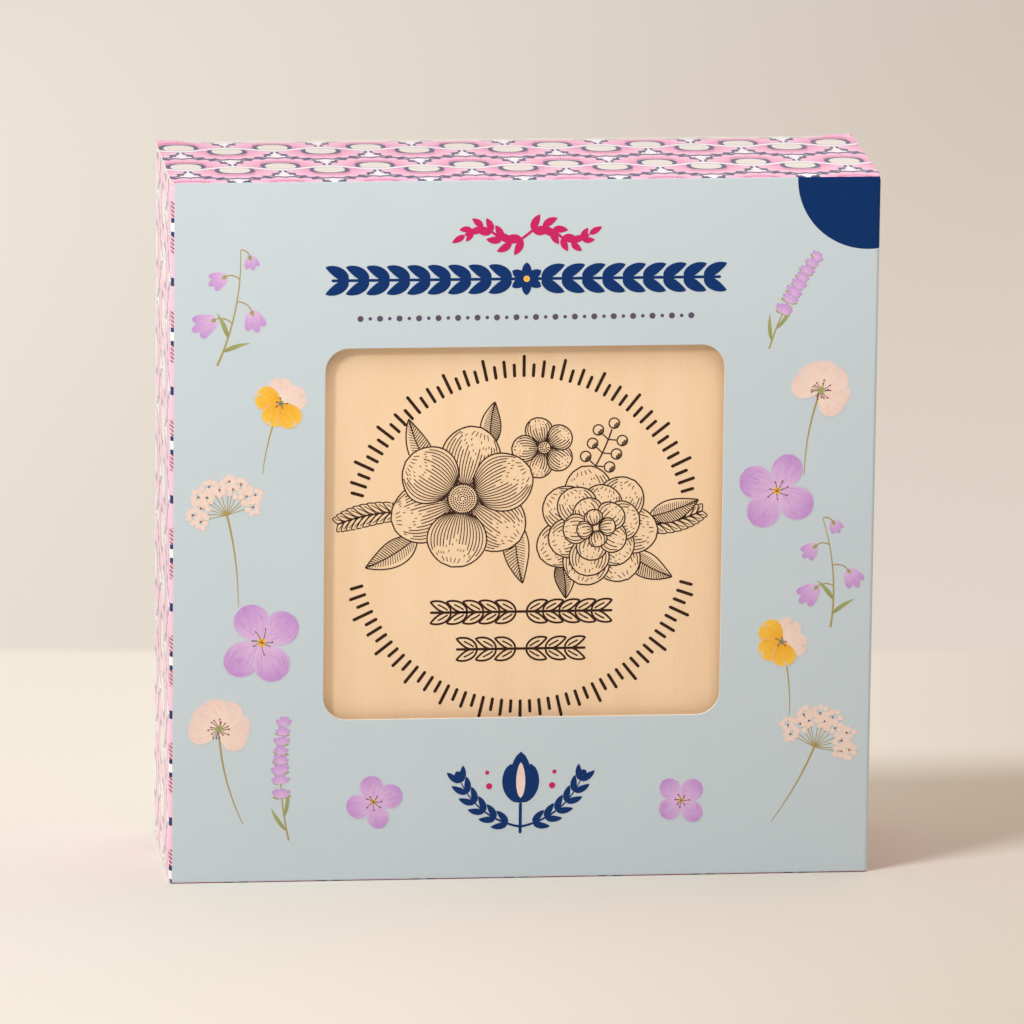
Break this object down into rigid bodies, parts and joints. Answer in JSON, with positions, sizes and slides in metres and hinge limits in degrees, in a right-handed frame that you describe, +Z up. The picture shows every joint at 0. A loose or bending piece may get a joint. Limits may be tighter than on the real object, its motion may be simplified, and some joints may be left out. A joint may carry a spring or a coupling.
{
  "type": "flower press in carton",
  "caption": "Wooden flower press with bolts and wing nuts, packed in an upright card carton with a window and tuck closures.",
  "frame": {"origin": "middle of the carton's base", "axes": "+Z up, -Y out of the windowed front, +X to the right as the front is seen"},
  "size_m": [0.2, 0.06, 0.2025],
  "materials": {
    "printed_card_blue": "matt printed card, pale grey-blue",
    "printed_card_pattern": "matt printed card, pink fan pattern",
    "plain_card": "unprinted off-white card",
    "engraved_wood": "sanded pale birch, engraved dark brown",
    "plain_wood": "sanded pale birch",
    "bolt_steel": "bright zinc plate",
    "washer_steel": "bright zinc plate",
    "nut_steel": "bright zinc plate",
    "corrugated_card": "brown corrugated card",
    "blotting_paper": "soft white blotting paper"
  },
  "bodies": {
    "carton": {"front_panel": "printed_card_blue", "back_panel": "printed_card_blue", "left_panel": "printed_card_pattern", "right_panel": "printed_card_pattern", "glue_flap": "plain_card", "front_board": "engraved_wood", "carriage_bolt_1": "bolt_steel", "carriage_bolt_2": "bolt_steel", "carriage_bolt_3": "bolt_steel", "carriage_bolt_4": "bolt_steel"},
    "lid": {"lid_panel": "printed_card_pattern"},
    "lid_tuck": {"lid_tuck_flap": "printed_card_pattern"},
    "lid_dust_left": {"lid_dust_flap_left": "plain_card"},
    "lid_dust_right": {"lid_dust_flap_right": "plain_card"},
    "base": {"base_panel": "printed_card_pattern"},
    "base_tuck": {"base_tuck_flap": "printed_card_pattern"},
    "base_dust_left": {"base_dust_flap_left": "plain_card"},
    "base_dust_right": {"base_dust_flap_right": "plain_card"},
    "moving_board": {"rear_board": "plain_wood", "washer_1": "washer_steel", "washer_2": "washer_steel", "washer_3": "washer_steel", "washer_4": "washer_steel"},
    "nut_1": {"wing_nut_1": "nut_steel"},
    "nut_2": {"wing_nut_2": "nut_steel"},
    "nut_3": {"wing_nut_3": "nut_steel"},
    "nut_4": {"wing_nut_4": "nut_steel"},
    "card_1": {"corrugated_card_1": "corrugated_card"},
    "sheet_1": {"blotting_sheet_1": "blotting_paper"},
    "sheet_2": {"blotting_sheet_2": "blotting_paper"},
    "card_2": {"corrugated_card_2": "corrugated_card"},
    "sheet_3": {"blotting_sheet_3": "blotting_paper"},
    "sheet_4": {"blotting_sheet_4": "blotting_paper"},
    "card_3": {"corrugated_card_3": "corrugated_card"},
    "sheet_5": {"blotting_sheet_5": "blotting_paper"},
    "sheet_6": {"blotting_sheet_6": "blotting_paper"},
    "card_4": {"corrugated_card_4": "corrugated_card"},
    "sheet_7": {"blotting_sheet_7": "blotting_paper"},
    "sheet_8": {"blotting_sheet_8": "blotting_paper"},
    "card_5": {"corrugated_card_5": "corrugated_card"}
  },
  "joints": [
    {"name": "lid_hinge", "type": "hinge", "parent": "carton", "child": "lid", "pos_m": [0, -0.0292, 0.2025], "axis": [1, 0, 0], "range_deg": [0, 175]},
    {"name": "lid_tuck_fold", "type": "hinge", "parent": "lid", "child": "lid_tuck", "pos_m": [0, 0.0289, 0.2017], "axis": [1, 0, 0], "range_deg": [0, 44]},
    {"name": "lid_dust_left_fold", "type": "hinge", "parent": "carton", "child": "lid_dust_left", "pos_m": [-0.0992, 0, 0.20145], "axis": [0, -1, 0], "range_deg": [0, 88]},
    {"name": "lid_dust_right_fold", "type": "hinge", "parent": "carton", "child": "lid_dust_right", "pos_m": [0.0992, 0, 0.20145], "axis": [0, 1, 0], "range_deg": [0, 88]},
    {"name": "base_hinge", "type": "hinge", "parent": "carton", "child": "base", "pos_m": [0, -0.0292, 0], "axis": [-1, 0, 0], "range_deg": [0, 175]},
    {"name": "base_tuck_fold", "type": "hinge", "parent": "base", "child": "base_tuck", "pos_m": [0, 0.0289, 0.0008], "axis": [-1, 0, 0], "range_deg": [0, 44]},
    {"name": "base_dust_left_fold", "type": "hinge", "parent": "carton", "child": "base_dust_left", "pos_m": [-0.0992, 0, 0.00105], "axis": [0, 1, 0], "range_deg": [0, 88]},
    {"name": "base_dust_right_fold", "type": "hinge", "parent": "carton", "child": "base_dust_right", "pos_m": [0.0992, 0, 0.00105], "axis": [0, -1, 0], "range_deg": [0, 88]},
    {"name": "press_opening", "type": "slide", "parent": "carton", "child": "moving_board", "axis": [0, 1, 0], "range_m": [0, 0.006]},
    {"name": "wing_nut_1_turn", "type": "hinge", "parent": "moving_board", "child": "nut_1", "pos_m": [-0.076, 0.00795, 0.17415], "axis": [0, 1, 0], "range_deg": [0, 2162]},
    {"name": "wing_nut_2_turn", "type": "hinge", "parent": "moving_board", "child": "nut_2", "pos_m": [0.076, 0.00795, 0.17415], "axis": [0, 1, 0], "range_deg": [0, 2162]},
    {"name": "wing_nut_3_turn", "type": "hinge", "parent": "moving_board", "child": "nut_3", "pos_m": [-0.076, 0.00795, 0.02215], "axis": [0, 1, 0], "range_deg": [0, 2162]},
    {"name": "wing_nut_4_turn", "type": "hinge", "parent": "moving_board", "child": "nut_4", "pos_m": [0.076, 0.00795, 0.02215], "axis": [0, 1, 0], "range_deg": [0, 2162]},
    {"name": "card_1_slide", "type": "slide", "parent": "carton", "child": "card_1", "axis": [0, 1, 0], "range_m": [0, 0.000439]},
    {"name": "sheet_1_slide", "type": "slide", "parent": "carton", "child": "sheet_1", "axis": [0, 1, 0], "range_m": [0, 0.000867]},
    {"name": "sheet_2_slide", "type": "slide", "parent": "carton", "child": "sheet_2", "axis": [0, 1, 0], "range_m": [0, 0.0013]},
    {"name": "card_2_slide", "type": "slide", "parent": "carton", "child": "card_2", "axis": [0, 1, 0], "range_m": [0, 0.00172]},
    {"name": "sheet_3_slide", "type": "slide", "parent": "carton", "child": "sheet_3", "axis": [0, 1, 0], "range_m": [0, 0.00215]},
    {"name": "sheet_4_slide", "type": "slide", "parent": "carton", "child": "sheet_4", "axis": [0, 1, 0], "range_m": [0, 0.00258]},
    {"name": "card_3_slide", "type": "slide", "parent": "carton", "child": "card_3", "axis": [0, 1, 0], "range_m": [0, 0.00301]},
    {"name": "sheet_5_slide", "type": "slide", "parent": "carton", "child": "sheet_5", "axis": [0, 1, 0], "range_m": [0, 0.00344]},
    {"name": "sheet_6_slide", "type": "slide", "parent": "carton", "child": "sheet_6", "axis": [0, 1, 0], "range_m": [0, 0.00387]},
    {"name": "card_4_slide", "type": "slide", "parent": "carton", "child": "card_4", "axis": [0, 1, 0], "range_m": [0, 0.0043]},
    {"name": "sheet_7_slide", "type": "slide", "parent": "carton", "child": "sheet_7", "axis": [0, 1, 0], "range_m": [0, 0.00472]},
    {"name": "sheet_8_slide", "type": "slide", "parent": "carton", "child": "sheet_8", "axis": [0, 1, 0], "range_m": [0, 0.00515]},
    {"name": "card_5_slide", "type": "slide", "parent": "carton", "child": "card_5", "axis": [0, 1, 0], "range_m": [0, 0.00558]}
  ],
  "couplings": [
    {"joint": "lid_tuck_fold", "follows": "lid_hinge", "ratio": 0.25},
    {"joint": "lid_dust_left_fold", "follows": "lid_hinge", "ratio": 0.5},
    {"joint": "lid_dust_right_fold", "follows": "lid_hinge", "ratio": 0.5},
    {"joint": "base_tuck_fold", "follows": "base_hinge", "ratio": 0.25},
    {"joint": "base_dust_left_fold", "follows": "base_hinge", "ratio": 0.5},
    {"joint": "base_dust_right_fold", "follows": "base_hinge", "ratio": 0.5},
    {"joint": "wing_nut_1_turn", "follows": "press_opening", "rad_per_m": 6283.2},
    {"joint": "wing_nut_2_turn", "follows": "press_opening", "rad_per_m": 6283.2},
    {"joint": "wing_nut_3_turn", "follows": "press_opening", "rad_per_m": 6283.2},
    {"joint": "wing_nut_4_turn", "follows": "press_opening", "rad_per_m": 6283.2},
    {"joint": "card_1_slide", "follows": "press_opening", "ratio": 0.071429},
    {"joint": "sheet_1_slide", "follows": "press_opening", "ratio": 0.14286},
    {"joint": "sheet_2_slide", "follows": "press_opening", "ratio": 0.21429},
    {"joint": "card_2_slide", "follows": "press_opening", "ratio": 0.28571},
    {"joint": "sheet_3_slide", "follows": "press_opening", "ratio": 0.35714},
    {"joint": "sheet_4_slide", "follows": "press_opening", "ratio": 0.42857},
    {"joint": "card_3_slide", "follows": "press_opening", "ratio": 0.5},
    {"joint": "sheet_5_slide", "follows": "press_opening", "ratio": 0.57143},
    {"joint": "sheet_6_slide", "follows": "press_opening", "ratio": 0.64286},
    {"joint": "card_4_slide", "follows": "press_opening", "ratio": 0.71429},
    {"joint": "sheet_7_slide", "follows": "press_opening", "ratio": 0.78571},
    {"joint": "sheet_8_slide", "follows": "press_opening", "ratio": 0.85714},
    {"joint": "card_5_slide", "follows": "press_opening", "ratio": 0.92857}
  ]
}
